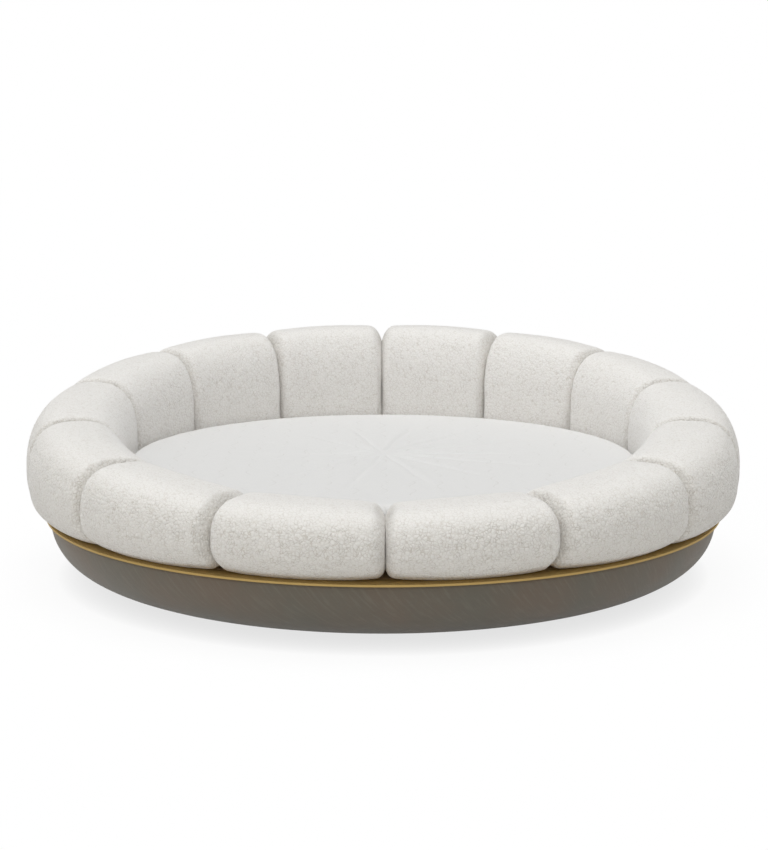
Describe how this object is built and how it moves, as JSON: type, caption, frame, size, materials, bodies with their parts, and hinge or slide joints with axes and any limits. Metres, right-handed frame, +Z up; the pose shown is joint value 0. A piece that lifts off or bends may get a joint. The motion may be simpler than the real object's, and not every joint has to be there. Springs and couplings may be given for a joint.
{
  "type": "round bed",
  "caption": "Round upholstered bed: a ring of padded bolsters, low in front and tall behind, on a bowl-shaped base with a metal rim, round a lift-out mattress.",
  "frame": {"origin": "centre of the bed on the floor", "axes": "+Z up; -Y towards the low front of the bolster ring, +Y towards its tall back; +X to the right seen from the front"},
  "size_m": [2.76, 2.7462, 0.8148],
  "materials": {
    "boucle": "matte",
    "suede": "matte",
    "sheet_cotton": "matte",
    "brass": "satin",
    "plywood": "matte",
    "softwood": "matte",
    "plate_steel": "satin",
    "felt": "matte",
    "foam": "matte",
    "spring_cloth": "matte"
  },
  "bodies": {
    "frame": {"bolster_01": "boucle", "bolster_02": "boucle", "bolster_03": "boucle", "bolster_04": "boucle", "bolster_05": "boucle", "bolster_06": "boucle", "bolster_07": "boucle", "bolster_08": "boucle", "bolster_09": "boucle", "bolster_10": "boucle", "bolster_11": "boucle", "bolster_12": "boucle", "bolster_13": "boucle", "bolster_14": "boucle", "bolster_board_01": "plywood", "bolster_board_02": "plywood", "bolster_board_03": "plywood", "bolster_board_04": "plywood", "bolster_board_05": "plywood", "bolster_board_06": "plywood", "bolster_board_07": "plywood", "bolster_board_08": "plywood", "bolster_board_09": "plywood", "bolster_board_10": "plywood", "bolster_board_11": "plywood", "bolster_board_12": "plywood", "bolster_board_13": "plywood", "bolster_board_14": "plywood", "bolster_former_04": "plywood", "bolster_former_05": "plywood", "bolster_former_06": "plywood", "bolster_former_07": "plywood", "bolster_former_08": "plywood", "bolster_former_09": "plywood", "bolster_former_10": "plywood", "bolster_former_11": "plywood", "trim_ring": "brass", "deck_left": "plywood", "deck_right": "plywood", "deck_joint_plates": "plate_steel", "base_skirt": "suede", "base_ribs": "plywood", "plinth_ring": "softwood", "platform_left": "plywood", "platform_right": "plywood", "centre_beam": "softwood", "side_beam_left": "softwood", "side_beam_right": "softwood", "centre_post": "softwood", "side_post_left": "softwood", "side_post_right": "softwood", "floor_glides": "felt"},
    "mattress": {"mattress_support_foam": "foam", "mattress_spring_core": "spring_cloth", "mattress_comfort_foam": "foam", "fitted_sheet": "sheet_cotton"}
  },
  "joints": [
    {"name": "mattress_lift", "type": "slide", "parent": "frame", "child": "mattress", "axis": [0, 0, 1], "range_m": [0, 0.65]}
  ]
}
